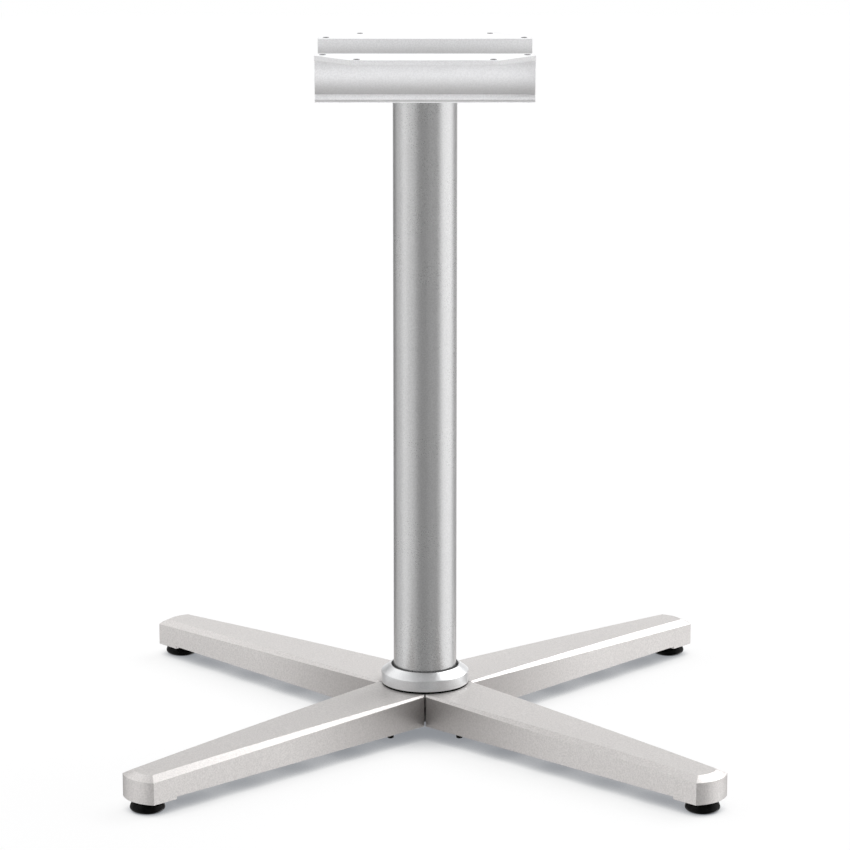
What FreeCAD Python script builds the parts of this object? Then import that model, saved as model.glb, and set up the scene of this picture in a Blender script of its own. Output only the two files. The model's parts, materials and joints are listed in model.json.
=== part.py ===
import FreeCAD, Part
import math
import os
import Sketcher

# Four star table base: a round column on four bolted cast legs, with a top bracket and levelling glides.
# Millimetres, +Z up, origin on the floor under the column, front towards -Y.

os.makedirs("parts", exist_ok=True)
doc = FreeCAD.newDocument("FourStarTableBase")
sheet = doc.addObject("Spreadsheet::Sheet", "Sizes")
nodes = []


class Size:
    """A length that keeps the expression it comes from, so that sketches stay bound to the sheet."""

    def __init__(self, value, text):
        self.value = value
        self.text = text

    @staticmethod
    def of(other):
        return other if isinstance(other, Size) else Size(float(other), repr(float(other)))

    def __add__(self, other):
        other = Size.of(other)
        return Size(self.value + other.value, f"({self.text} + {other.text})")

    def __sub__(self, other):
        other = Size.of(other)
        return Size(self.value - other.value, f"({self.text} - {other.text})")

    def __mul__(self, other):
        other = Size.of(other)
        return Size(self.value * other.value, f"({self.text} * {other.text})")

    def __truediv__(self, other):
        other = Size.of(other)
        return Size(self.value / other.value, f"({self.text} / {other.text})")

    def __rsub__(self, other):
        return Size.of(other) - self

    def __neg__(self):
        return Size(-self.value, f"(0 - {self.text})")

    __radd__ = __add__
    __rmul__ = __mul__


def size(alias, value):
    """Writes one driving dimension into the sheet and returns it."""
    row = size.rows = size.rows + 1
    sheet.set(f"A{row}", alias)
    sheet.set(f"B{row}", str(value))
    sheet.setAlias(f"B{row}", alias)
    return Size(float(value), f"Sizes.{alias}")


size.rows = 0

# Column
column_diameter = size("column_diameter", 63.5)
column_wall = size("column_wall", 2.0)
column_length = size("column_length", 600.0)
plug_length = size("plug_length", 20.0)
plug_clearance = size("plug_clearance", 0.05)
spigot_depth = size("spigot_depth", 3.0)

# Legs, measured along each leg from the middle of the hub
hub_top = size("hub_top", 47.5)
leg_reach = size("leg_reach", 391.8)
leg_half_hub = size("leg_half_hub", 35.1)
leg_half_tip = size("leg_half_tip", 22.2)
tip_bow = size("tip_bow", 7.3)
crown_start = size("crown_start", 45.0)
tip_top = size("tip_top", 38.8)
crown_radius = size("crown_radius", 17000.0)
shoulder_hub = size("shoulder_hub", 46.9)
shoulder_tip = size("shoulder_tip", 34.2)
bevel_slope_hub = size("bevel_slope_hub", 1.02)
bevel_slope_tip = size("bevel_slope_tip", 0.51)
leg_underside = size("leg_underside", 15.0)
seat_underside = size("seat_underside", 12.5)
seat_inset = size("seat_inset", 35.3)
leg_wall = size("leg_wall", 4.0)
leg_roof = size("leg_roof", 4.5)
hollow_drop = size("hollow_drop", 3.5)
hollow_bevel = size("hollow_bevel", 6.0)
rib_thickness = size("rib_thickness", 4.0)
rib_recess = size("rib_recess", 4.0)
seam = size("seam", 0.9)

# Hub plate, the studs cast into the legs and their nuts
plate_underside = size("plate_underside", 16.0)
plate_thickness = size("plate_thickness", 6.0)
plate_half = size("plate_half", 25.5)
plate_reach = size("plate_reach", 84.0)
plate_clearance = size("plate_clearance", 0.5)
stud_reach = size("stud_reach", 66.8)
stud_half_spacing = size("stud_half_spacing", 18.0)
stud_diameter = size("stud_diameter", 6.0)
stud_end = size("stud_end", 9.8)
stud_hole_clearance = size("stud_hole_clearance", 0.3)
hub_nut_flats = size("hub_nut_flats", 10.0)
hub_nut_height = size("hub_nut_height", 5.2)
thread_clearance = size("thread_clearance", 0.02)

# Tie rod through the column, with its washer and nuts
rod_diameter = size("rod_diameter", 12.0)
rod_hole_clearance = size("rod_hole_clearance", 0.5)
rod_tail = size("rod_tail", 2.5)
rod_head = size("rod_head", 4.0)
washer_width = size("washer_width", 32.0)
washer_thickness = size("washer_thickness", 2.5)
rod_nut_flats = size("rod_nut_flats", 18.0)
top_nut_height = size("top_nut_height", 10.0)
bottom_nut_height = size("bottom_nut_height", 6.0)

# Collar ring around the foot of the column
collar_diameter = size("collar_diameter", 88.6)
collar_side = size("collar_side", 12.8)
collar_height = size("collar_height", 19.4)
collar_top_diameter = size("collar_top_diameter", 70.8)
collar_rim = size("collar_rim", 1.2)
collar_clearance = size("collar_clearance", 0.25)
collar_recess = size("collar_recess", 3.5)

# Top bracket, a channel with a flange along each side
bracket_width = size("bracket_width", 213.0)
bracket_depth = size("bracket_depth", 215.0)
bracket_height = size("bracket_height", 48.0)
bracket_chamfer = size("bracket_chamfer", 35.0)
flange_thickness = size("flange_thickness", 5.0)
channel_half = size("channel_half", 56.0)
wall_thickness = size("wall_thickness", 5.0)
web_thickness = size("web_thickness", 8.5)
lip_radius = size("lip_radius", 4.6)
wall_straight = size("wall_straight", 13.0)
wall_tuck = size("wall_tuck", 5.0)
bracket_round = size("bracket_round", 1.2)
screw_hole_diameter = size("screw_hole_diameter", 5.5)
hole_edge = size("hole_edge", 8.0)
hole_wall_gap = size("hole_wall_gap", 5.2)
hole_corner_gap = size("hole_corner_gap", 14.3)

# Levelling glides
glide_inset = size("glide_inset", 18.6)
pad_diameter = size("pad_diameter", 34.0)
pad_height = size("pad_height", 10.4)
stem_diameter = size("stem_diameter", 8.0)
stem_length = size("stem_length", 34.0)
stem_foot = size("stem_foot", 3.5)
stem_flats = size("stem_flats", 13.0)
running_clearance = size("running_clearance", 0.05)
bore_depth = size("bore_depth", 22.5)

doc.recompute()

# How far a cut reaches past what it cuts, and plain counts and angles
OVERCUT = 5.0
CROSS_RIBS = 3
END_BEVEL_SWEEP = 110.0

# Values worked out from the driving ones
root_two = Size(math.sqrt(2), "sqrt(2)")
column_radius = column_diameter / 2
plug_radius = column_radius - column_wall - plug_clearance
column_top = hub_top + column_length
web_top = column_top + web_thickness
seat_start = leg_reach - seat_inset
glide_reach = leg_reach - glide_inset
rib_underside = leg_underside + rib_recess
plate_top = plate_underside + plate_thickness
tip_corner = leg_reach - tip_bow
rod_hole_radius = rod_diameter / 2 + rod_hole_clearance
cavity_start = plate_reach + plate_clearance + leg_wall
cavity_end = seat_start - leg_wall


def between(start, end, reach):
    """Value at a distance along the leg of something that changes evenly from hub to tip."""
    return start + (end - start) * reach / leg_reach


def leg_half(reach):
    return between(leg_half_hub, leg_half_tip, reach)


def shoulder(reach):
    return between(shoulder_hub, shoulder_tip, reach)


def roof_inside(reach):
    """Height of the ceiling inside the leg, under the straight line from crown to tip."""
    fall = (hub_top - tip_top) * (reach - crown_start) / (leg_reach - crown_start)
    return hub_top - fall - leg_roof


tip_corner_half = leg_half(tip_corner)
tip_radius = (tip_corner_half * tip_corner_half + tip_bow * tip_bow) / (2 * tip_bow)


# Helpers for bodies, sketches and features
def vec(x, y, z=0.0):
    return FreeCAD.Vector(x, y, z)


def new_body(label):
    body = doc.addObject("PartDesign::Body", label)
    body.Label = label
    nodes.append(body)
    return body


def new_sketch(body, name, plane, offset=None, along=None):
    """Sketch on one of the body's own planes, moved off it by offset and sideways by along."""
    sketch = body.newObject("Sketcher::SketchObject", f"{body.Label}_{name}")
    support = [one for one in body.Origin.OriginFeatures if one.Role == plane][0]
    sketch.AttachmentSupport = [(support, "")]
    sketch.MapMode = "FlatFace"
    if offset is not None:
        sketch.setExpression("AttachmentOffset.Base.z", Size.of(offset).text)
    if along is not None:
        sketch.setExpression("AttachmentOffset.Base.x", Size.of(along).text)
    return sketch


def bind(sketch, kind, references, value):
    """Adds one dimension to a sketch and ties it to its expression."""
    value = Size.of(value)
    index = sketch.addConstraint(Sketcher.Constraint(kind, *references, value.value))
    sketch.setExpression(f"Constraints[{index}]", value.text)


def bowed(start, end, radius):
    """Arc from start to end with its hollow side on the left of the way."""
    chord = end - start
    side = vec(-chord.y, chord.x) * (1.0 / chord.Length)
    rise = math.sqrt(radius ** 2 - (chord.Length / 2) ** 2)
    centre = (start + end) * 0.5 + side * rise
    return Part.Arc(start, centre - side * radius, end)


def outline(sketch, points, arcs=None):
    """Closed outline through the points.

    arcs gives the radius of a bowed stretch by the number of its first point: positive with the hollow
    side on the left of the way, negative with it on the right.
    """
    arcs = arcs or {}
    places = [vec(Size.of(x).value, Size.of(y).value) for x, y in points]
    first = sketch.GeometryCount
    count = len(points)
    starts = []
    for index in range(count):
        here, after = places[index], places[(index + 1) % count]
        radius = arcs[index].value if index in arcs else 0.0
        if radius > 0:
            sketch.addGeometry(bowed(here, after, radius))
        elif radius < 0:
            sketch.addGeometry(bowed(after, here, -radius))
        else:
            sketch.addGeometry(Part.LineSegment(here, after))
        starts.append(2 if radius < 0 else 1)
    for index, (x, y) in enumerate(points):
        before = (index - 1) % count
        sketch.addConstraint(Sketcher.Constraint("Coincident", first + before, 3 - starts[before],
                                                 first + index, starts[index]))
        bind(sketch, "DistanceX", (-1, 1, first + index, starts[index]), x)
        bind(sketch, "DistanceY", (-1, 1, first + index, starts[index]), y)
    for index, radius in arcs.items():
        bind(sketch, "Radius", (first + index,), radius if radius.value > 0 else -radius)
    return sketch


def circle(sketch, x, y, radius):
    x, y, radius = Size.of(x), Size.of(y), Size.of(radius)
    index = sketch.addGeometry(Part.Circle(vec(x.value, y.value), vec(0, 0, 1), radius.value))
    bind(sketch, "DistanceX", (-1, 1, index, 3), x)
    bind(sketch, "DistanceY", (-1, 1, index, 3), y)
    bind(sketch, "Radius", (index,), radius)
    return sketch


def box_points(x0, x1, y0, y1):
    return [(x0, y0), (x1, y0), (x1, y1), (x0, y1)]


def hexagon_corner(flats):
    """Distance from the middle of a hexagon to its corners, from its width across the flats."""
    return flats / Size(math.sqrt(3), "sqrt(3)")


def hexagon_points(flats):
    corner = hexagon_corner(flats)
    half = corner / 2
    side = flats / 2
    return [(corner, 0), (half, side), (-half, side), (-corner, 0), (-half, -side), (half, -side)]


def feature(body, kind, sketch, name, length=None, middle=False, back=False):
    """Pad or pocket of a sketch. Without a length a pocket goes through everything."""
    made = body.newObject(f"PartDesign::{kind}", f"{body.Label}_{name}")
    made.Profile = sketch
    if length is None:
        made.Type = "ThroughAll"
    else:
        made.setExpression("Length", Size.of(length).text)
    if middle:
        made.Midplane = True
    if back:
        made.Reversed = True
    sketch.Visibility = False
    doc.recompute()
    return made


def pad(body, sketch, name, length, **options):
    return feature(body, "Pad", sketch, name, length, **options)


def pocket(body, sketch, name, length=None, **options):
    """Pocket that must take material away."""
    before = body.Shape.Volume
    made = feature(body, "Pocket", sketch, name, length, **options)
    if body.Shape.Volume > before - 1e-3:
        raise RuntimeError(f"{made.Name} cuts nothing")
    return made


def turned(body, kind, sketch, name, angle=None):
    """Revolution or groove of a sketch about its own upright axis."""
    made = body.newObject(f"PartDesign::{kind}", f"{body.Label}_{name}")
    made.Profile = sketch
    made.ReferenceAxis = (sketch, ["V_Axis"])
    made.Angle = 360.0 if angle is None else angle
    if angle is not None:
        made.Midplane = True
    doc.recompute()
    return made


def loft_cut(body, sketches, name):
    before = body.Shape.Volume
    made = body.newObject("PartDesign::SubtractiveLoft", f"{body.Label}_{name}")
    made.Profile = sketches[0]
    made.Sections = sketches[1:]
    made.Ruled = True
    doc.recompute()
    if body.Shape.Volume > before - 1e-3:
        raise RuntimeError(f"{made.Name} cuts nothing")
    return made


def place(thing, x=0, y=0, z=0):
    for axis, value in zip("xyz", (x, y, z)):
        thing.setExpression(f"Placement.Base.{axis}", Size.of(value).text)


def rounded(body, name, radius, wanted):
    """Rounds the edges that wanted picks out."""
    base = body.Tip
    edges = [f"Edge{number}" for number, edge in enumerate(base.Shape.Edges, 1) if wanted(edge)]
    made = body.newObject("PartDesign::Fillet", f"{body.Label}_{name}")
    made.Base = (base, edges)
    made.setExpression("Radius", radius.text)
    doc.recompute()
    return made


# Column tube and the plugs in its two ends
def column_tube():
    body = new_body("column_tube")
    ring = new_sketch(body, "ring", "XY_Plane")
    circle(ring, 0, 0, column_radius)
    circle(ring, 0, 0, column_radius - column_wall)
    pad(body, ring, "tube", column_length)
    place(body, z=hub_top)


def end_plug(label, length, base):
    """Round plug that fits inside the tube and lets the tie rod through."""
    body = new_body(label)
    ring = new_sketch(body, "ring", "XY_Plane")
    circle(ring, 0, 0, plug_radius)
    circle(ring, 0, 0, rod_hole_radius)
    pad(body, ring, "disc", length)
    place(body, z=base)


def collar_ring():
    """Turned ring with an upright side, a cone above it and a step down to the column."""
    body = new_body("collar_ring")
    bore = column_radius + collar_clearance
    outer = collar_diameter / 2
    shoulder_radius = collar_top_diameter / 2
    rim = shoulder_radius - collar_rim
    section = new_sketch(body, "section", "XZ_Plane")
    outline(section, [(bore, 0), (outer, 0), (outer, collar_side), (shoulder_radius, collar_height),
                      (rim, collar_height), (rim, collar_height - collar_recess),
                      (bore, collar_height - collar_recess)])
    turned(body, "Revolution", section, "ring")
    place(body, z=hub_top)


# Tie rod, its washer and the nuts of the rod and of the studs
def square_washer(label, base):
    body = new_body(label)
    plate = new_sketch(body, "plate", "XY_Plane")
    half = washer_width / 2
    outline(plate, box_points(-half, half, -half, half))
    circle(plate, 0, 0, rod_hole_radius)
    pad(body, plate, "washer", washer_thickness)
    place(body, z=base)


def nut(body, flats, height, thread, x, y, base):
    hexagon = new_sketch(body, "hexagon", "XY_Plane")
    outline(hexagon, hexagon_points(flats))
    circle(hexagon, 0, 0, thread / 2 + thread_clearance)
    pad(body, hexagon, "nut", height)
    place(body, x, y, base)


def tie_rod(low, high):
    rod = doc.addObject("Part::Cylinder", "tie_rod")
    rod.Label = "tie_rod"
    rod.setExpression("Radius", (rod_diameter / 2).text)
    rod.setExpression("Height", (high - low).text)
    place(rod, z=low)
    nodes.append(rod)


# Legs
def leg(label, angle):
    """Hollow cast leg: mitred hub end, bevelled and crowned back, ribs inside, seat for the glide."""
    body = new_body(label)

    # plan of the leg, pulled up from the seat's underside to the top of the hub
    mitre = (leg_half_hub + seam) / (1 - (leg_half_tip - leg_half_hub) / leg_reach)
    plan = new_sketch(body, "plan", "XY_Plane", offset=seat_underside)
    outline(plan, [(seam, 0), (mitre, -leg_half(mitre)), (tip_corner, -tip_corner_half),
                   (tip_corner, tip_corner_half), (mitre, leg_half(mitre))], {2: tip_radius})
    pad(body, plan, "plan_pad", hub_top - seat_underside)

    above = hub_top + OVERCUT
    beyond = leg_reach + OVERCUT

    # bevel along each side, wider and flatter towards the tip
    for side, name in ((1, "left"), (-1, "right")):
        ends = []
        for end, reach, slope in (("hub", Size.of(0), bevel_slope_hub), ("tip", beyond, bevel_slope_tip)):
            inner = leg_half(reach) - 2 * OVERCUT
            outer = leg_half(reach) + OVERCUT
            high = shoulder(reach) + slope * 2 * OVERCUT
            low = shoulder(reach) - slope * OVERCUT
            section = new_sketch(body, f"bevel_{name}_{end}", "YZ_Plane", offset=reach)
            ends.append(outline(section, [(inner * side, high), (outer * side, low), (outer * side, high)]))
        loft_cut(body, ends, f"bevel_{name}")

    # crowned back, falling away towards the tip
    back = new_sketch(body, "back", "XZ_Plane")
    outline(back, [(crown_start, above), (crown_start, hub_top), (leg_reach, tip_top),
                   (beyond, tip_top), (beyond, above)], {1: -crown_radius})
    pocket(body, back, "back_cut", middle=True)

    # the same bevel around the bowed end
    end_bevel = new_sketch(body, "end_bevel", "XZ_Plane", along=leg_reach - tip_radius)
    edge = shoulder(tip_corner)
    outline(end_bevel, [(tip_radius - 2 * OVERCUT, edge + bevel_slope_tip * 2 * OVERCUT),
                        (tip_radius + OVERCUT, edge - bevel_slope_tip * OVERCUT),
                        (tip_radius + OVERCUT, edge + bevel_slope_tip * 2 * OVERCUT)])
    turned(body, "Groove", end_bevel, "end_bevel_cut", angle=END_BEVEL_SWEEP)

    # the underside steps up from the glide's seat
    step = new_sketch(body, "step", "XZ_Plane")
    outline(step, box_points(-OVERCUT, seat_start, seat_underside - OVERCUT, leg_underside))
    pocket(body, step, "step_cut", middle=True)

    # hollow between the hub block and the seat
    low = leg_underside - OVERCUT
    ends = []
    for end, reach in (("near", cavity_start), ("far", cavity_end)):
        half = leg_half(reach) - leg_wall
        cheek = shoulder(reach) - hollow_drop
        crown = half - hollow_bevel
        section = new_sketch(body, f"hollow_{end}", "YZ_Plane", offset=reach)
        ends.append(outline(section, [(-half, low), (half, low), (half, cheek), (crown, roof_inside(reach)),
                                      (-crown, roof_inside(reach)), (-half, cheek)]))
    loft_cut(body, ends, "hollow")

    # one long rib and the cross ribs
    embed = leg_roof / 2
    spine = new_sketch(body, "spine", "XZ_Plane")
    spine_start, spine_end = cavity_start - embed, cavity_end + embed
    outline(spine, [(spine_start, rib_underside), (spine_end, rib_underside),
                    (spine_end, roof_inside(spine_end) + embed), (spine_start, roof_inside(spine_start) + embed)])
    pad(body, spine, "spine_rib", rib_thickness, middle=True)
    pitch = (cavity_end - cavity_start) / (CROSS_RIBS + 1)
    for number in range(1, CROSS_RIBS + 1):
        reach = cavity_start + pitch * number
        half = leg_half(reach) - leg_wall / 2
        rib = new_sketch(body, f"rib_{number}", "XY_Plane", offset=rib_underside)
        outline(rib, box_points(reach - rib_thickness / 2, reach + rib_thickness / 2, -half, half))
        pad(body, rib, f"cross_rib_{number}", shoulder(reach) - hollow_drop - rib_underside)

    # recess for the hub plate, studs cast in above it, way for the tie rod and seat of the column's plug
    recess_half = plate_half + plate_clearance
    recess = new_sketch(body, "recess", "XY_Plane", offset=plate_top)
    outline(recess, box_points(-OVERCUT, plate_reach + plate_clearance, -recess_half, recess_half))
    pocket(body, recess, "recess_cut", plate_top - leg_underside + OVERCUT)
    studs = new_sketch(body, "studs", "XY_Plane", offset=stud_end)
    for side in (1, -1):
        circle(studs, stud_reach, stud_half_spacing * side, stud_diameter / 2)
    pad(body, studs, "stud_pins", plate_top + embed - stud_end)
    way = new_sketch(body, "way", "XY_Plane", offset=plate_top - OVERCUT)
    circle(way, 0, 0, rod_hole_radius)
    pocket(body, way, "rod_way", hub_top - plate_top + 2 * OVERCUT, back=True)
    spigot_seat = new_sketch(body, "spigot_seat", "XY_Plane", offset=hub_top)
    circle(spigot_seat, 0, 0, plug_radius + plug_clearance)
    pocket(body, spigot_seat, "spigot_cut", spigot_depth)

    # threaded bore of the glide
    bore = new_sketch(body, "bore", "XY_Plane", offset=seat_underside)
    circle(bore, glide_reach, 0, stem_diameter / 2 + running_clearance)
    pocket(body, bore, "glide_bore", bore_depth, back=True)

    body.Placement = FreeCAD.Placement(vec(0, 0, 0), FreeCAD.Rotation(vec(0, 0, 1), angle))


def hub_plate():
    """Steel cross inside the hollow legs, which ties them together."""
    body = new_body("hub_plate")
    half, reach = plate_half, plate_reach
    cross = new_sketch(body, "cross", "XY_Plane")
    outline(cross, [(reach, -half), (reach, half), (half, half), (half, reach), (-half, reach), (-half, half),
                    (-reach, half), (-reach, -half), (-half, -half), (-half, -reach), (half, -reach),
                    (half, -half)])
    circle(cross, 0, 0, rod_hole_radius)
    hole = stud_diameter / 2 + stud_hole_clearance
    for side in (1, -1):
        for along in (1, -1):
            circle(cross, stud_reach * along, stud_half_spacing * side, hole)
            circle(cross, stud_half_spacing * side, stud_reach * along, hole)
    pad(body, cross, "plate", plate_thickness)
    body.Placement = FreeCAD.Placement(vec(0, 0, 0), FreeCAD.Rotation(vec(0, 0, 1), 45))
    place(body, z=plate_underside)


def group(label, bodies):
    """Several identical solids as one node."""
    together = doc.addObject("Part::Compound", label)
    together.Label = label
    together.Links = bodies
    nodes.append(together)


# Top bracket
def top_bracket():
    """Channel with a flange on each side, drawn as its end section and run along X."""
    body = new_body("top_bracket")
    depth_half = bracket_depth / 2
    width_half = bracket_width / 2
    outer = channel_half + wall_thickness
    flange_low = bracket_height - flange_thickness
    wall_low = flange_low - wall_straight
    bend = wall_low - web_thickness
    wall_radius = (bend * bend + wall_tuck * wall_tuck) / (2 * wall_tuck)
    right = [(outer - wall_tuck, 0), (outer - wall_tuck, web_thickness), (outer, wall_low),
             (outer, flange_low), (depth_half, flange_low), (depth_half, bracket_height),
             (channel_half, bracket_height), (channel_half, wall_low), (channel_half - wall_tuck, web_thickness)]
    left = [(-along, up) for along, up in reversed(right)]
    section = new_sketch(body, "section", "YZ_Plane")
    outline(section, right + left, {0: lip_radius, 1: wall_radius, 7: -wall_radius, 9: -wall_radius,
                                    15: wall_radius, 16: lip_radius})
    pad(body, section, "channel", bracket_width, middle=True)

    corners = new_sketch(body, "corners", "XY_Plane", offset=bracket_height)
    past_width, past_depth = width_half + OVERCUT, depth_half + OVERCUT
    for side in (1, -1):
        for front in (1, -1):
            outline(corners, [(width_half * side, (depth_half - bracket_chamfer) * front),
                              (past_width * side, (depth_half - bracket_chamfer) * front),
                              (past_width * side, past_depth * front),
                              ((width_half - bracket_chamfer) * side, past_depth * front),
                              ((width_half - bracket_chamfer) * side, depth_half * front)])
    pocket(body, corners, "corner_cuts", flange_thickness + OVERCUT)

    # one screw hole near each long edge and one beside each channel wall, both clear of the cut-off corner
    cut_line = width_half + depth_half - bracket_chamfer - hole_corner_gap
    edge_hole, wall_hole = depth_half - hole_edge, outer + hole_wall_gap
    holes = new_sketch(body, "holes", "XY_Plane", offset=bracket_height)
    for side in (1, -1):
        for front in (1, -1):
            for across in (edge_hole, wall_hole):
                circle(holes, (cut_line - across) * side, across * front, screw_hole_diameter / 2)
    pocket(body, holes, "screw_holes", flange_thickness + OVERCUT)
    middle_hole = new_sketch(body, "middle_hole", "XY_Plane", offset=web_thickness)
    circle(middle_hole, 0, 0, rod_hole_radius)
    pocket(body, middle_hole, "rod_hole", web_thickness + OVERCUT)
    rounded(body, "channel_lips", bracket_round,
            lambda edge: edge.BoundBox.XLength > bracket_width.value - 1
            and edge.BoundBox.ZMin > bracket_height.value - 0.01
            and abs(abs(edge.BoundBox.YMin) - channel_half.value) < 0.01)
    place(body, z=column_top)


# Levelling glides
def glide_pad(label, x, y):
    """Moulded pad with a socket in which the foot of the stem turns."""
    body = new_body(label)
    disc = new_sketch(body, "disc", "XY_Plane")
    circle(disc, 0, 0, pad_diameter / 2)
    pad(body, disc, "disc_pad", pad_height)
    socket = new_sketch(body, "socket", "XY_Plane", offset=stem_foot - running_clearance)
    circle(socket, 0, 0, stem_diameter / 2 + running_clearance)
    pocket(body, socket, "socket_cut", pad_height, back=True)
    place(body, x, y)


def glide_stem(label, x, y):
    """Threaded stem with a hexagon for the wrench between the pad and the leg."""
    body = new_body(label)
    thread = new_sketch(body, "thread", "XY_Plane", offset=stem_foot)
    circle(thread, 0, 0, stem_diameter / 2)
    pad(body, thread, "thread_pad", stem_length - stem_foot)
    hexagon = new_sketch(body, "hexagon", "XY_Plane", offset=pad_height + running_clearance)
    outline(hexagon, hexagon_points(stem_flats))
    pad(body, hexagon, "hexagon_pad", seat_underside - pad_height - 2 * running_clearance)
    place(body, x, y)


# The whole base, piece by piece
doc.recompute()
column_tube()
end_plug("column_head_plug", plug_length, column_top - plug_length)
end_plug("column_foot_plug", plug_length + spigot_depth, hub_top - spigot_depth)
collar_ring()

bottom_nut_base = plate_underside - bottom_nut_height
top_nut_base = web_top + washer_thickness
tie_rod(bottom_nut_base - rod_tail, top_nut_base + top_nut_height + rod_head)
square_washer("top_washer", web_top)
nut(new_body("bottom_nut"), rod_nut_flats, bottom_nut_height, rod_diameter, 0, 0, bottom_nut_base)
nut(new_body("top_nut"), rod_nut_flats, top_nut_height, rod_diameter, 0, 0, top_nut_base)
hub_plate()
top_bracket()

hub_nuts = []
for name, side, front in (("front_right", 1, -1), ("rear_right", 1, 1), ("rear_left", -1, 1),
                          ("front_left", -1, -1)):
    angle = math.degrees(math.atan2(front, side))
    leg(f"leg_{name}", angle)
    foot_x, foot_y = glide_reach / root_two * side, glide_reach / root_two * front
    glide_pad(f"glide_pad_{name}", foot_x, foot_y)
    glide_stem(f"glide_stem_{name}", foot_x, foot_y)
    for across in (stud_half_spacing, -stud_half_spacing):
        hub_nut = doc.addObject("PartDesign::Body", f"hub_nut_{len(hub_nuts) + 1}")
        nut(hub_nut, hub_nut_flats, hub_nut_height, stud_diameter, (stud_reach - across) / root_two * side,
            (stud_reach + across) / root_two * front, plate_underside - hub_nut_height)
        hub_nuts.append(hub_nut)
group("hub_nuts", hub_nuts)

# Nothing is written unless every object has come out sound
doc.recompute()
for thing in doc.Objects:
    if "Invalid" in thing.State or "Error" in thing.State:
        raise RuntimeError(f"{thing.Label} has failed: {thing.State}")
for node in nodes:
    wanted = len(hub_nuts) if node.Label == "hub_nuts" else 1
    if node.Shape.isNull() or not node.Shape.isValid() or len(node.Shape.Solids) != wanted:
        raise RuntimeError(f"{node.Label} is not sound")
for node in nodes:
    node.Shape.exportStep(f"parts/{node.Label}.step")
    print(node.Label, round(node.Shape.Volume), "mm3")
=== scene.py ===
# Four star table base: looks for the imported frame. Metres, +Z up, front towards -Y.
import json
import math

import bmesh
import bpy
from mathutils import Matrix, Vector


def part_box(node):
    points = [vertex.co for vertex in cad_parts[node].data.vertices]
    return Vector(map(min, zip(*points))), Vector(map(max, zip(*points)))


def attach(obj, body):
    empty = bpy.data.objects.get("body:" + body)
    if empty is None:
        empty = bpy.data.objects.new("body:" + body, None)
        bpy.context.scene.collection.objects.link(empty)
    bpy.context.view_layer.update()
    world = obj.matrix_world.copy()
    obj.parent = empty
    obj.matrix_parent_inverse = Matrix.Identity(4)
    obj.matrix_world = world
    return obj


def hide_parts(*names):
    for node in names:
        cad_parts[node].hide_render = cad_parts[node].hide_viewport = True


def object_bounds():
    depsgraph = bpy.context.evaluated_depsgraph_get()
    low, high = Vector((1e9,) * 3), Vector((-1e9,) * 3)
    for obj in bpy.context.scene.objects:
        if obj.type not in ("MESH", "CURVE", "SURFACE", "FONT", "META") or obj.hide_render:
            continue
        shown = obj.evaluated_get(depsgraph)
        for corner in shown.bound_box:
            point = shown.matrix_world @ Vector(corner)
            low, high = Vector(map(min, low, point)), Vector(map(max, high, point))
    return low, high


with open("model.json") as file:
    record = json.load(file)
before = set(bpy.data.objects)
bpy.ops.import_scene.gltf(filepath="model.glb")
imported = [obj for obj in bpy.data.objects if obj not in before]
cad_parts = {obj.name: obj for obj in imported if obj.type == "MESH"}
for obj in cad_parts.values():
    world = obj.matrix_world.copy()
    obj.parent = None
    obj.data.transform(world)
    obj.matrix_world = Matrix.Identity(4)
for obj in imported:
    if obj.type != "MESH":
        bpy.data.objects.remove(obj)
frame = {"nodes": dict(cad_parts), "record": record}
cad_low, cad_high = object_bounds()

CORNERS = ("front_right", "rear_right", "rear_left", "front_left")
MILLIMETRE = 0.001


# Shader maths written as Python expressions
class Wire:
    """An output socket that takes part in sums."""

    def __init__(self, shader, socket):
        self.shader = shader
        self.socket = socket

    def __add__(self, other):
        return self.shader.maths("ADD", self, other)

    def __sub__(self, other):
        return self.shader.maths("SUBTRACT", self, other)

    def __rsub__(self, other):
        return self.shader.maths("SUBTRACT", other, self)

    def __mul__(self, other):
        return self.shader.maths("MULTIPLY", self, other)

    __radd__ = __add__


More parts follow.
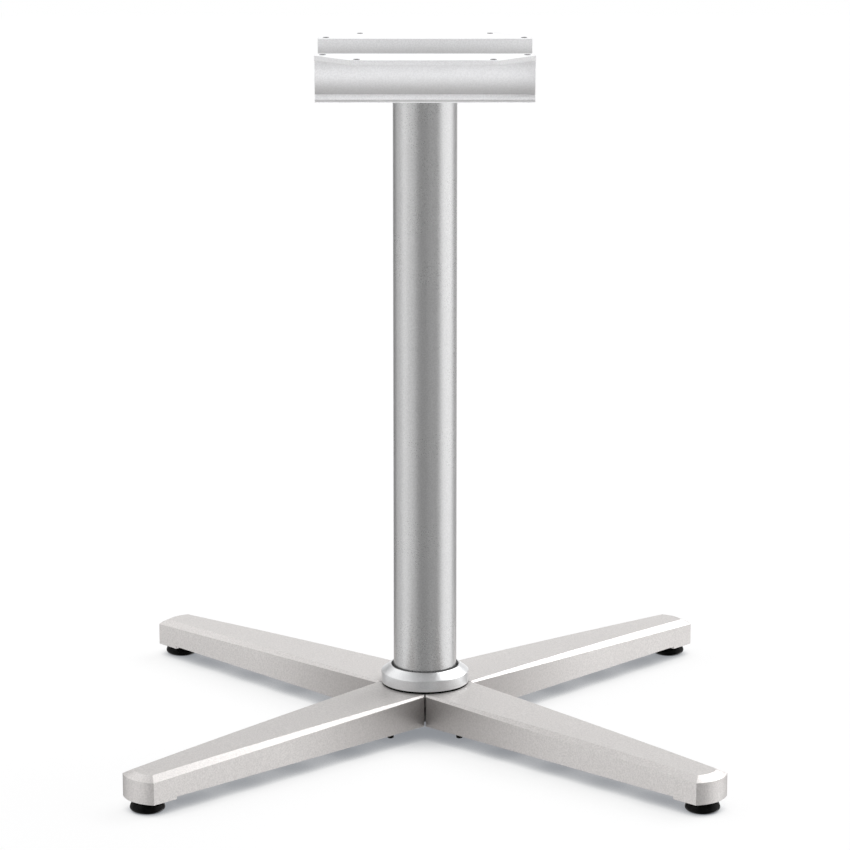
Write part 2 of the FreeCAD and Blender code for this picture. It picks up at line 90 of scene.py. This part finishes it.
class Shader:
    """The node tree of one material or of the world."""

    def __init__(self, owner):
        owner.use_nodes = True
        self.tree = owner.node_tree
        self.tree.nodes.clear()

    def node(self, kind, settings=None, inputs=None, output=0):
        """Adds a node: its settings first, then the values or links of its sockets."""
        made = self.tree.nodes.new("ShaderNode" + kind)
        for name, value in (settings or {}).items():
            setattr(made, name, value)
        for key, value in (inputs or {}).items():
            if isinstance(value, Wire):
                self.tree.links.new(value.socket, made.inputs[key])
            else:
                made.inputs[key].default_value = value
        return Wire(self, made.outputs[output]) if made.outputs else made

    def maths(self, operation, *numbers):
        return self.node("Math", {"operation": operation}, dict(enumerate(numbers)))

    def vector_maths(self, operation, *vectors, output="Vector"):
        return self.node("VectorMath", {"operation": operation}, dict(enumerate(vectors)), output=output)

    def axis_of(self, vector, axis):
        return self.node("SeparateXYZ", inputs={"Vector": vector}, output=axis)

    def mixed(self, amount, first, second):
        """Colour between two others."""
        return self.node("Mix", {"data_type": "RGBA"}, {0: amount, 6: first, 7: second}, output=2)

    def smooth(self, value, low, high):
        """Rises smoothly from 0 at low to 1 at high."""
        return self.node("MapRange", {"interpolation_type": "SMOOTHSTEP"},
                         {"Value": value, "From Min": low, "From Max": high})

    def noise(self, scale, detail=2.0, roughness=0.5, stretch=(1.0, 1.0, 1.0)):
        """Noise over the object's own metres, scale in spots per metre."""
        place = self.node("TexCoord", output="Object")
        place = self.node("Mapping", inputs={"Vector": place, "Scale": stretch})
        return self.node("TexNoise", inputs={"Vector": place, "Scale": scale, "Detail": detail,
                                             "Roughness": roughness})

    def here(self):
        return self.node("NewGeometry", output="Position")

    def facing(self):
        return self.node("NewGeometry", output="Normal")

    def flat(self, vector):
        """The vector without its height."""
        return self.vector_maths("MULTIPLY", vector, (1.0, 1.0, 0.0))

    def lean(self):
        """How far a face looks up: 1 for a level top, 0 for an upright wall, -1 for an underside."""
        return self.axis_of(self.facing(), "Z")

    def in_hub_corner(self):
        """1 on upright faces beside the column, fading out along the legs."""
        reach = self.vector_maths("LENGTH", self.flat(self.here()), output="Value")
        return (1.0 - self.smooth(reach, 0.03, 0.24)) * (1.0 - self.smooth(self.lean(), 0.15, 0.5))

    def on_level(self):
        """1 on level tops."""
        return self.smooth(self.lean(), 0.90, 0.98)

    def in_tuck(self):
        """Rises where an upright wall turns under."""
        turn = self.lean() * -1.0
        return self.smooth(turn, 0.04, 0.40) * (1.0 - self.smooth(turn, 0.55, 0.75))

    def depth_below(self, top):
        return top - self.axis_of(self.here(), "Z")

    def facing_in(self):
        """1 on walls that face the middle plane between front and rear."""
        outward = self.axis_of(self.vector_maths("MULTIPLY", self.here(), self.facing()), "Y")
        return self.smooth(outward * -1.0, 0.01, 0.04)

    def in_channel(self, top):
        """Rises with the depth on walls that face the middle plane."""
        return self.facing_in() * self.smooth(self.depth_below(top), 0.001, 0.020)

    def below_flange(self, top):
        """1 on outer walls just below the flange, fading out further down."""
        depth = self.depth_below(top)
        upright = 1.0 - self.smooth(self.maths("ABSOLUTE", self.lean()), 0.3, 0.7)
        past_edge = self.smooth(depth, 0.0035, 0.0060)
        return upright * (1.0 - self.facing_in()) * past_edge * (1.0 - self.smooth(depth, 0.007, 0.019))

    def on_corners(self):
        """1 on upright walls that face between front and side."""
        sideways = self.axis_of(self.vector_maths("ABSOLUTE", self.facing()), "X")
        return self.smooth(sideways, 0.35, 0.60) * (1.0 - self.smooth(sideways, 0.80, 0.95))

    def at_holes(self, places, reach):
        """1 within the reach of two holes that are mirrored left to right and front to back."""
        folded = self.flat(self.vector_maths("ABSOLUTE", self.here()))
        away = [self.vector_maths("DISTANCE", folded, (x, y, 0.0), output="Value") for x, y in places]
        return self.maths("LESS_THAN", self.maths("MINIMUM", *away), reach)

    def surface(self, black_shade_mask=None, **inputs):
        """Principled surface on the material output, with plain black painted shade where the shade mask is 1.
        """
        names = {name.replace("_", " ").title().replace("Ior", "IOR"): value for name, value in inputs.items()}
        shaded = self.node("BsdfPrincipled", inputs=names)
        if black_shade_mask:
            black = self.node("BsdfDiffuse", inputs={"Color": (0.004, 0.004, 0.004, 1)})
            shaded = self.node("MixShader", inputs={0: black_shade_mask, 1: shaded, 2: black})
        self.node("OutputMaterial", inputs={"Surface": shaded})


def shade(colour, factor):
    return tuple(part * factor for part in colour) + (1.0,)


# Screw holes in the bracket's flanges, mirrored to the other corners, and the reach of the black painted shade
# round each
SCREW_HOLES = ((65.2 * MILLIMETRE, 99.5 * MILLIMETRE), (98.5 * MILLIMETRE, 66.2 * MILLIMETRE))
HOLE_SHADE_REACH = 3.3 * MILLIMETRE

# Painted shade: tones that the coats turn towards where shade is painted on them
HUB_PAINTED_SHADE = (0.10, 0.085, 0.08, 1.0)
WALL_PAINTED_SHADE = (0.20, 0.19, 0.18, 1.0)
LEVEL_PAINTED_SHADE = (0.30, 0.30, 0.30, 1.0)


def coat(name, colour, metallic, roughness, grain, speckle, edge, hub_shade=0.0, wall_shade=0.0, holes=None):
    """Metallic coat with a fine speckle, an uneven sheen and softly rounded edges.

    It may carry painted shade in the corners of the hub, on parts of the bracket's walls and on its level tops,
    and black painted shade round screw holes.
    """
    made = bpy.data.materials.new(name)
    shader = Shader(made)
    fine = shader.noise(grain, roughness=0.7)
    patches = shader.noise(14.0)
    spots = shader.smooth(fine, 0.34, 0.66)
    sheen = roughness + (patches - 0.5) * 0.05 + (spots - 0.5) * 0.05
    rounded = shader.node("Bevel", {"samples": 6}, {"Radius": edge})
    bumpy = shader.node("Bump", inputs={"Strength": 0.12, "Distance": 0.0002, "Height": spots,
                                        "Normal": rounded})
    tone = shader.mixed(spots, shade(colour, 1.0 - speckle), shade(colour, 1.0 + speckle))
    # Painted shade: leg sides turn darker towards the hub corners
    if hub_shade:
        tone = shader.mixed(shader.in_hub_corner() * hub_shade, tone, HUB_PAINTED_SHADE)
    # Painted shade on the bracket: darker where walls turn under, just below the flange, on the chamfered
    # corners, deeper in the channel and on level tops
    if wall_shade:
        top = cad_high[2]
        for found, share, darker in ((shader.in_tuck(), 1.0, WALL_PAINTED_SHADE),
                                     (shader.below_flange(top), 0.4, WALL_PAINTED_SHADE),
                                     (shader.on_corners(), 0.5, WALL_PAINTED_SHADE),
                                     (shader.on_level(), 0.2, LEVEL_PAINTED_SHADE),
                                     (shader.in_channel(top), 0.85, WALL_PAINTED_SHADE)):
            tone = shader.mixed(found * (wall_shade * share), tone, darker)
    # Black painted shade round the screw holes
    shader.surface(black_shade_mask=holes and shader.at_holes(holes, HOLE_SHADE_REACH),
                   base_color=tone, metallic=metallic, roughness=sheen, normal=bumpy)
    return made


def nylon(name):
    """Black moulded plastic with a soft gloss."""
    made = bpy.data.materials.new(name)
    shader = Shader(made)
    wear = shader.noise(220.0, detail=3.0)
    shader.surface(base_color=shader.mixed(wear, (0.002, 0.002, 0.002, 1), (0.005, 0.005, 0.005, 1)),
                   roughness=0.10 + wear * 0.06, specular_ior_level=0.06)
    return made


def bare_metal(name, dull, bright, roughness, stretch=(1.0, 1.0, 1.0)):
    """Bare or plated metal with a clouded tone and fine marks."""
    made = bpy.data.materials.new(name)
    shader = Shader(made)
    clouds = shader.noise(60.0, detail=4.0)
    marks = shader.noise(900.0, stretch=stretch)
    tone = shader.smooth(clouds * 0.6 + marks * 0.4, 0.3, 0.7)
    bumpy = shader.node("Bump", inputs={"Strength": 0.15, "Distance": 0.0001, "Height": marks})
    shader.surface(base_color=shader.mixed(tone, (*dull, 1), (*bright, 1)), metallic=1.0,
                   roughness=roughness + marks * 0.12, normal=bumpy)
    return made


FINISH = {
    "leg_coat": coat("leg_coat", (0.605, 0.584, 0.570), metallic=0.62, roughness=0.44,
                     grain=620.0, speckle=0.09, edge=0.0005, hub_shade=0.50),
    "column_coat": coat("column_coat", (0.505, 0.505, 0.505), metallic=0.88, roughness=0.30,
                        grain=700.0, speckle=0.08, edge=0.0004),
    "collar_coat": coat("collar_coat", (0.67, 0.675, 0.68), metallic=0.75, roughness=0.32,
                        grain=800.0, speckle=0.04, edge=0.0003),
    "bracket_coat": coat("bracket_coat", (0.93, 0.93, 0.935), metallic=0.06, roughness=0.45,
                         grain=700.0, speckle=0.05, edge=0.0005, wall_shade=0.55, holes=SCREW_HOLES),
    "plate_steel": bare_metal("plate_steel", (0.20, 0.20, 0.21), (0.36, 0.36, 0.37), 0.38),
    "plug_aluminium": bare_metal("plug_aluminium", (0.58, 0.58, 0.59), (0.72, 0.72, 0.73), 0.28,
                                 stretch=(1.0, 1.0, 6.0)),
    "zinc_steel": bare_metal("zinc_steel", (0.52, 0.53, 0.52), (0.70, 0.71, 0.70), 0.24),
    "glide_nylon": nylon("glide_nylon"),
}


def dress(piece, slot):
    piece.data.materials.clear()
    piece.data.materials.append(FINISH[slot])


for part in frame["record"]["subparts"]:
    dress(frame["nodes"][part["node"]], part["material_slot"])


# Mesh helpers
def piece_from(name, points, faces, slot, body, replaced=(), angle=35):
    """Adds a piece of the object that rides on a body and may stand for CAD nodes."""
    mesh = bpy.data.meshes.new(name)
    mesh.from_pydata(points, [], faces)
    mesh.update()
    made = bpy.data.objects.new(name, mesh)
    bpy.context.scene.collection.objects.link(made)
    smooth_by_angle(made, angle)
    dress(made, slot)
    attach(made, body)
    if replaced:
        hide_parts(*replaced)


# Points closer than this are one
JOINED = MILLIMETRE / 500


def smooth_by_angle(piece, degrees):
    """Smooth shading, with sharp edges where faces meet at more than the angle."""
    mesh = bmesh.new()
    mesh.from_mesh(piece.data)
    bmesh.ops.remove_doubles(mesh, verts=mesh.verts, dist=JOINED)
    bmesh.ops.dissolve_degenerate(mesh, edges=mesh.edges, dist=JOINED)
    bmesh.ops.recalc_face_normals(mesh, faces=mesh.faces)
    for face in mesh.faces:
        face.smooth = True
    for edge in mesh.edges:
        edge.smooth = not edge.is_manifold or edge.calc_face_angle() < math.radians(degrees)
    mesh.to_mesh(piece.data)
    mesh.free()


def middle_of(node):
    low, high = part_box(node)
    return (low[0] + high[0]) / 2, (low[1] + high[1]) / 2


class Solid:
    """Points and faces of a piece while it is put together."""

    def __init__(self):
        self.points = []
        self.faces = []

    def loop(self, points):
        """Adds a ring of points and returns their numbers."""
        start = len(self.points)
        self.points += points
        return list(range(start, len(self.points)))

    def circle(self, radius, height, sides, x, y):
        return self.loop([(x + radius * math.cos(math.tau * step / sides),
                           y + radius * math.sin(math.tau * step / sides), height) for step in range(sides)])

    def band(self, lower, upper):
        """Faces between two rings of as many points."""
        count = len(lower)
        for step in range(count):
            after = (step + 1) % count
            self.faces.append((lower[step], lower[after], upper[after], upper[step]))

    def turned(self, profile, sides, x, y, closed=False):
        """Turned surface through (radius, height) pairs; a closed one joins its last ring to its first."""
        rings = [self.circle(radius, height, sides, x, y) for radius, height in profile]
        for lower, upper in zip(rings, rings[1:]):
            self.band(lower, upper)
        if closed:
            self.band(rings[-1], rings[0])

    def threaded(self, radius, depth, pitch, low, high, x, y, sides=24):
        """Right-handed screw thread between two heights, with flat ends."""
        steps = int(sides * ((high - low) / pitch + 2))
        crests, roots = [], []
        for step in range(steps):
            angle = math.tau * step / sides
            height = low - pitch + pitch * step / sides
            for line, reach, lift in ((crests, radius, 0.0), (roots, radius - depth, pitch / 2)):
                level = min(max(height + lift, low), high)
                line.append((x + reach * math.cos(angle), y + reach * math.sin(angle), level))
        crests, roots = self.loop(crests), self.loop(roots)
        for step in range(steps - 1):
            self.faces.append((crests[step], crests[step + 1], roots[step + 1], roots[step]))
            above = step + sides
            if above + 1 < steps:
                self.faces.append((roots[step], roots[step + 1], crests[above + 1], crests[above]))


# Points along each side of a hexagon
HEX_STEPS = 8


def hexagon(flats):
    """Radius of a hexagon by the angle, with corners on the X axis."""
    def at(angle):
        turn = (angle + math.pi / 6) % (math.pi / 3) - math.pi / 6
        return flats / 2 / math.cos(math.pi / 6 - abs(turn))
    return at


def hexagon_ring(solid, flats, limit, height_at, x, y):
    """Ring around a hexagon that is cut off at a radius; height_at gives the height at each radius."""
    reach_at = hexagon(flats)
    points = []
    for step in range(6 * HEX_STEPS):
        angle = math.tau * step / (6 * HEX_STEPS)
        reach = min(reach_at(angle), limit)
        points.append((x + reach * math.cos(angle), y + reach * math.sin(angle), height_at(reach_at(angle))))
    return solid.loop(points)


def chamfered_nut(solid, flats, bore, low, high, x, y):
    """Hexagon nut whose corners are turned off at both ends, with a countersunk bore."""
    slope = 0.5
    round_reach = flats / 2 * 0.97
    foot = hexagon_ring(solid, flats, round_reach, lambda reach: low, x, y)
    lower = hexagon_ring(solid, flats, flats, lambda reach: low + slope * (reach - round_reach), x, y)
    upper = hexagon_ring(solid, flats, flats, lambda reach: high - slope * (reach - round_reach), x, y)
    head = hexagon_ring(solid, flats, round_reach, lambda reach: high, x, y)
    rings = [foot, lower, upper, head]
    sink = bore * 0.10
    for radius, height in ((bore + sink, high), (bore, high - sink), (bore, low + sink), (bore + sink, low)):
        rings.append(solid.circle(radius, height, 6 * HEX_STEPS, x, y))
    for one, after in zip(rings, rings[1:] + rings[:1]):
        solid.band(one, after)


def spread(low, high, share):
    return low + (high - low) * share


# Collar: turned ring with an open gap around the column, on a thin black ring
def collar():
    low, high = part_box("collar_ring")
    x, y = middle_of("collar_ring")
    base, top = low[2], high[2]
    outer = (high[0] - low[0]) / 2 - 0.02 * MILLIMETRE
    bore = 32.0 * MILLIMETRE
    rim_outer, rim_inner = 35.4 * MILLIMETRE, 34.2 * MILLIMETRE
    side = base + 12.8 * MILLIMETRE
    foot = base + 1.8 * MILLIMETRE
    gap_floor = base + 6.0 * MILLIMETRE
    edge = 0.35 * MILLIMETRE
    slope = math.atan2(top - side, outer - rim_outer)
    along, rise = math.cos(slope), math.sin(slope)
    profile = [(bore, foot), (outer - 2 * edge, foot), (outer - edge, foot),
               (outer - 0.3 * edge, foot + 0.3 * edge), (outer, foot + edge), (outer, foot + 2 * edge),
               (outer, side - 2 * edge), (outer, side - edge),
               (outer - 0.25 * edge * along, side - 0.1 * edge), (outer - edge * along, side + edge * rise),
               (outer - 2 * edge * along, side + 2 * edge * rise)]
    for share in (0.35, 0.7):
        profile.append((spread(outer, rim_outer, share), spread(side, top, share)))
    profile += [(rim_outer + edge * along, top - edge * rise), (rim_outer, top - 0.05 * MILLIMETRE),
                (rim_outer - 0.3 * MILLIMETRE, top), (rim_inner, top), (rim_inner, gap_floor), (bore, gap_floor)]
    ring, black_ring = Solid(), Solid()
    ring.turned(profile, 128, x, y, closed=True)
    piece_from("collar_turning", ring.points, ring.faces, "collar_coat", "base", ["collar_ring"], angle=30)
    reach = outer - 0.4 * MILLIMETRE
    black_ring.turned([(bore, base), (reach, base), (reach, foot), (bore, foot)], 96, x, y, closed=True)
    piece_from("collar_black_ring", black_ring.points, black_ring.faces, "glide_nylon", "base")


# Thin black linings in the screw holes of the bracket, as painted shade inside the holes
def add_hole_shade_linings():
    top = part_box("top_bracket")[1][2] - 0.02 * MILLIMETRE
    depth = 4.9 * MILLIMETRE
    outer, inner = 2.72 * MILLIMETRE, 2.5 * MILLIMETRE
    shade_linings = Solid()
    for x, y in SCREW_HOLES:
        for side in (1, -1):
            for front in (1, -1):
                shade_linings.turned([(inner, top - depth), (outer, top - depth), (outer, top), (inner, top)], 32,
                              x * side, y * front, closed=True)
    piece_from("screw_hole_shade_linings", shade_linings.points, shade_linings.faces, "glide_nylon", "base")


# Glide pads: moulded buns that draw in towards the leg and the floor, as shares of their radius and height
PAD_PROFILE = ((0.0, 0.0), (0.74, 0.0), (0.80, 0.02), (0.87, 0.07), (0.935, 0.15), (0.98, 0.25), (1.0, 0.36),
               (0.995, 0.46), (0.975, 0.57), (0.945, 0.68), (0.91, 0.79), (0.88, 0.88), (0.855, 0.95),
               (0.825, 0.99), (0.79, 1.0), (0.34, 1.0))


def glide_pad(corner):
    node = f"glide_pad_{corner}"
    low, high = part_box(node)
    x, y = middle_of(node)
    wide = (high[0] - low[0]) / 2
    neck = 4.05 * MILLIMETRE
    socket_floor = low[2] + 3.45 * MILLIMETRE
    profile = [(wide * reach, spread(low[2], high[2], rise)) for reach, rise in PAD_PROFILE]
    profile += [(neck * 1.12, high[2] - 0.35 * MILLIMETRE), (neck, high[2] - 0.7 * MILLIMETRE),
                (neck, socket_floor), (0.0, socket_floor)]
    solid = Solid()
    solid.turned(profile, 72, x, y)
    piece_from(f"pad_{corner}_moulding", solid.points, solid.faces, "glide_nylon", f"pad_{corner}", [node],
               angle=50)


# Glide stems: screw thread above a hexagon collar
def glide_stem(corner):
    node = f"glide_stem_{corner}"
    low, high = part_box(node)
    x, y = middle_of(node)
    radius = 3.98 * MILLIMETRE
    pitch, depth = 1.25 * MILLIMETRE, 0.70 * MILLIMETRE
    root = radius - depth
    wrench_low, wrench_high = 10.45 * MILLIMETRE, 12.45 * MILLIMETRE
    solid = Solid()
    solid.turned([(0.0, low[2]), (root, low[2]), (radius, low[2] + 0.6 * MILLIMETRE), (radius, wrench_low)],
                 32, x, y)
    chamfered_nut(solid, 13.0 * MILLIMETRE, root, wrench_low, wrench_high, x, y)
    tip = high[2] - 1.0 * MILLIMETRE
    solid.threaded(radius, depth, pitch, wrench_high, tip, x, y)
    solid.turned([(radius, tip), (root - 0.3 * MILLIMETRE, high[2]), (0.0, high[2])], 24, x, y)
    piece_from(f"stem_{corner}_screw", solid.points, solid.faces, "zinc_steel", f"stem_{corner}", [node])


# Tie rod and hub: nuts, threads, and black caps on the studs as painted shade
def rod_nut(node):
    low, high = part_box(node)
    x, y = middle_of(node)
    solid = Solid()
    chamfered_nut(solid, high[1] - low[1], 6.0 * MILLIMETRE, low[2], high[2], x, y)
    piece_from(f"{node}_turning", solid.points, solid.faces, "zinc_steel", "base", [node])


def tie_rod():
    low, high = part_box("tie_rod")
    radius = 5.98 * MILLIMETRE
    pitch, depth = 1.75 * MILLIMETRE, 0.95 * MILLIMETRE
    length = 28.0 * MILLIMETRE
    chamfer = 1.0 * MILLIMETRE
    solid = Solid()
    solid.turned([(0.0, low[2]), (radius - chamfer, low[2]), (radius, low[2] + chamfer)], 24, 0.0, 0.0)
    solid.threaded(radius, depth, pitch, low[2] + chamfer, low[2] + length, 0.0, 0.0)
    solid.turned([(0.0, low[2] + length), (radius, low[2] + length), (radius, high[2] - length),
                  (0.0, high[2] - length)], 32, 0.0, 0.0)
    solid.threaded(radius, depth, pitch, high[2] - length, high[2] - chamfer, 0.0, 0.0)
    solid.turned([(radius, high[2] - chamfer), (radius - chamfer, high[2]), (0.0, high[2])], 24, 0.0, 0.0)
    piece_from("tie_rod_threads", solid.points, solid.faces, "zinc_steel", "base", ["tie_rod"])


def hub_fasteners():
    """Nuts under the hub plate, with black caps on the ends of the studs that they run on, as painted shade
    under the legs.
    """
    low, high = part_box("hub_nuts")
    nuts, shade_caps = Solid(), Solid()
    flats, bore = 10.0 * MILLIMETRE, 3.03 * MILLIMETRE
    shade_cap_radius, shade_cap_foot, rounding = 3.3 * MILLIMETRE, 6.8 * MILLIMETRE, 0.6 * MILLIMETRE
    reach, across = 66.8 * MILLIMETRE, 18.0 * MILLIMETRE
    for side in (1, -1):
        for front in (1, -1):
            for step in (across, -across):
                x, y = (reach - step) / math.sqrt(2) * side, (reach + step) / math.sqrt(2) * front
                chamfered_nut(nuts, flats, bore, low[2], high[2], x, y)
                shade_caps.turned([(0.0, shade_cap_foot), (shade_cap_radius - rounding, shade_cap_foot),
                             (shade_cap_radius, shade_cap_foot + rounding), (shade_cap_radius, low[2]), (0.0, low[2])], 24, x, y)
    piece_from("hub_nut_set", nuts.points, nuts.faces, "zinc_steel", "base", ["hub_nuts"])
    piece_from("stud_shade_caps", shade_caps.points, shade_caps.faces, "glide_nylon", "base")


collar()
add_hole_shade_linings()
rod_nut("top_nut")
rod_nut("bottom_nut")
tie_rod()
hub_fasteners()
for corner in CORNERS:
    glide_pad(corner)
    glide_stem(corner)


# Camera at the photograph's angle
CAMERA_PLACE = (0.0, -3.6952, 1.1708)
CAMERA_TILT = 13.040
CAMERA_LENS = 160.56
SENSOR_WIDTH = 36.0


def add_camera():
    data = bpy.data.cameras.new("view")
    data.sensor_width = SENSOR_WIDTH
    data.lens = CAMERA_LENS
    data.clip_end = 50.0
    camera = bpy.data.objects.new("view", data)
    camera.location = CAMERA_PLACE
    camera.rotation_euler = (math.radians(90 - CAMERA_TILT), 0.0, 0.0)
    bpy.context.scene.collection.objects.link(camera)
    bpy.context.scene.camera = camera


# Floor: white paper, with a shadow tone that the camera sees where little of the sky is open
FLOOR_HALF = 6.0
PAPER = (0.90, 0.90, 0.905, 1)
FLOOR_GLOW = 0.88
SHADOW_TONE = (0.26, 0.275, 0.30, 1)
SHADOW_REACH = 0.060
SHADOW_END = 0.78
BACKDROP = (1.0, 1.0, 1.0, 1.0)


def add_floor():
    """White paper with a soft grey shadow where the object stands close above it."""
    half = FLOOR_HALF
    mesh = bpy.data.meshes.new("floor")
    mesh.from_pydata([(-half, -half, 0), (half, -half, 0), (half, half, 0), (-half, half, 0)], [],
                     [(0, 1, 2, 3)])
    floor = bpy.data.objects.new("floor", mesh)
    bpy.context.scene.collection.objects.link(floor)
    made = bpy.data.materials.new("floor")
    made.cycles.emission_sampling = "NONE"
    shader = Shader(made)
    paper = shader.node("BsdfDiffuse", inputs={"Color": PAPER})
    open_sky = shader.node("AmbientOcclusion", {"samples": 16}, {"Distance": SHADOW_REACH}, output="AO")
    shadow = shader.mixed(shader.smooth(open_sky, 0.0, SHADOW_END), SHADOW_TONE, BACKDROP)
    glow = shader.node("Emission", inputs={"Color": shadow, "Strength": 1.0})
    straight = shader.node("LightPath", output="Is Camera Ray")
    both = shader.node("MixShader", inputs={0: straight * FLOOR_GLOW, 1: paper, 2: glow})
    shader.node("OutputMaterial", inputs={"Surface": both})
    mesh.materials.append(made)
    floor.visible_glossy = False


# Studio light: an even part, and soft patches
AMBIENT = 0.05
# Share of the white backdrop in what the object mirrors
MIRRORED_WHITE = 0.2
# Each patch: azimuth from the front towards the right, height, inner and outer radius in degrees, strength
LAMPS = (
    (0, 5, 6, 42, 0.24),
    (45, 5, 6, 42, 0.36),
    (88, 5, 6, 42, 1.80),
    (130, 5, 6, 42, 0.40),
    (-100, 5, 6, 42, 0.80),
    (-60, 5, 6, 42, 0.98),
    (180, 3, 4, 30, 1.10),
    (130, 46, 6, 26, 7.60),
    (180, 48, 8, 34, 0.15),
    (-122, 48, 8, 34, 1.00),
    (-152, 45, 5, 24, 1.40),
    (-60, 48, 8, 34, 1.25),
)


def add_world():
    """White behind the object, and soft studio light from the patches, which are mirrored below the floor."""
    world = bpy.data.worlds.new("studio")
    bpy.context.scene.world = world
    shader = Shader(world)
    towards = shader.node("TexCoord", output="Generated")
    x, y, z = (shader.axis_of(towards, axis) for axis in "XYZ")
    seen = shader.node("CombineXYZ", inputs={"X": x, "Y": y, "Z": shader.maths("ABSOLUTE", z)})
    light = AMBIENT
    for azimuth, elevation, inner, outer, strength in LAMPS:
        turn, lift = math.radians(azimuth), math.radians(elevation)
        aim = (math.sin(turn) * math.cos(lift), -math.cos(turn) * math.cos(lift), math.sin(lift))
        near = shader.vector_maths("DOT_PRODUCT", seen, aim, output="Value")
        patch = shader.smooth(near, math.cos(math.radians(outer)), math.cos(math.radians(inner)))
        light = light + patch * strength
    # Half as bright from straight below
    light = light * (0.5 + shader.smooth(z, -0.8, -0.25) * 0.5)
    tinted = shader.node("CombineColor", inputs={"Red": light, "Green": light, "Blue": light * 1.005})
    straight, through, mirrored = (shader.node("LightPath", output=f"Is {kind} Ray")
                                   for kind in ("Camera", "Transmission", "Glossy"))
    colour = shader.mixed(straight + through + mirrored * MIRRORED_WHITE, tinted, BACKDROP)
    around = shader.node("Background", inputs={"Color": colour, "Strength": 1.0})
    shader.node("OutputWorld", inputs={"Surface": around})


add_camera()
add_floor()
add_world()
bpy.context.scene.view_settings.view_transform = "Standard"
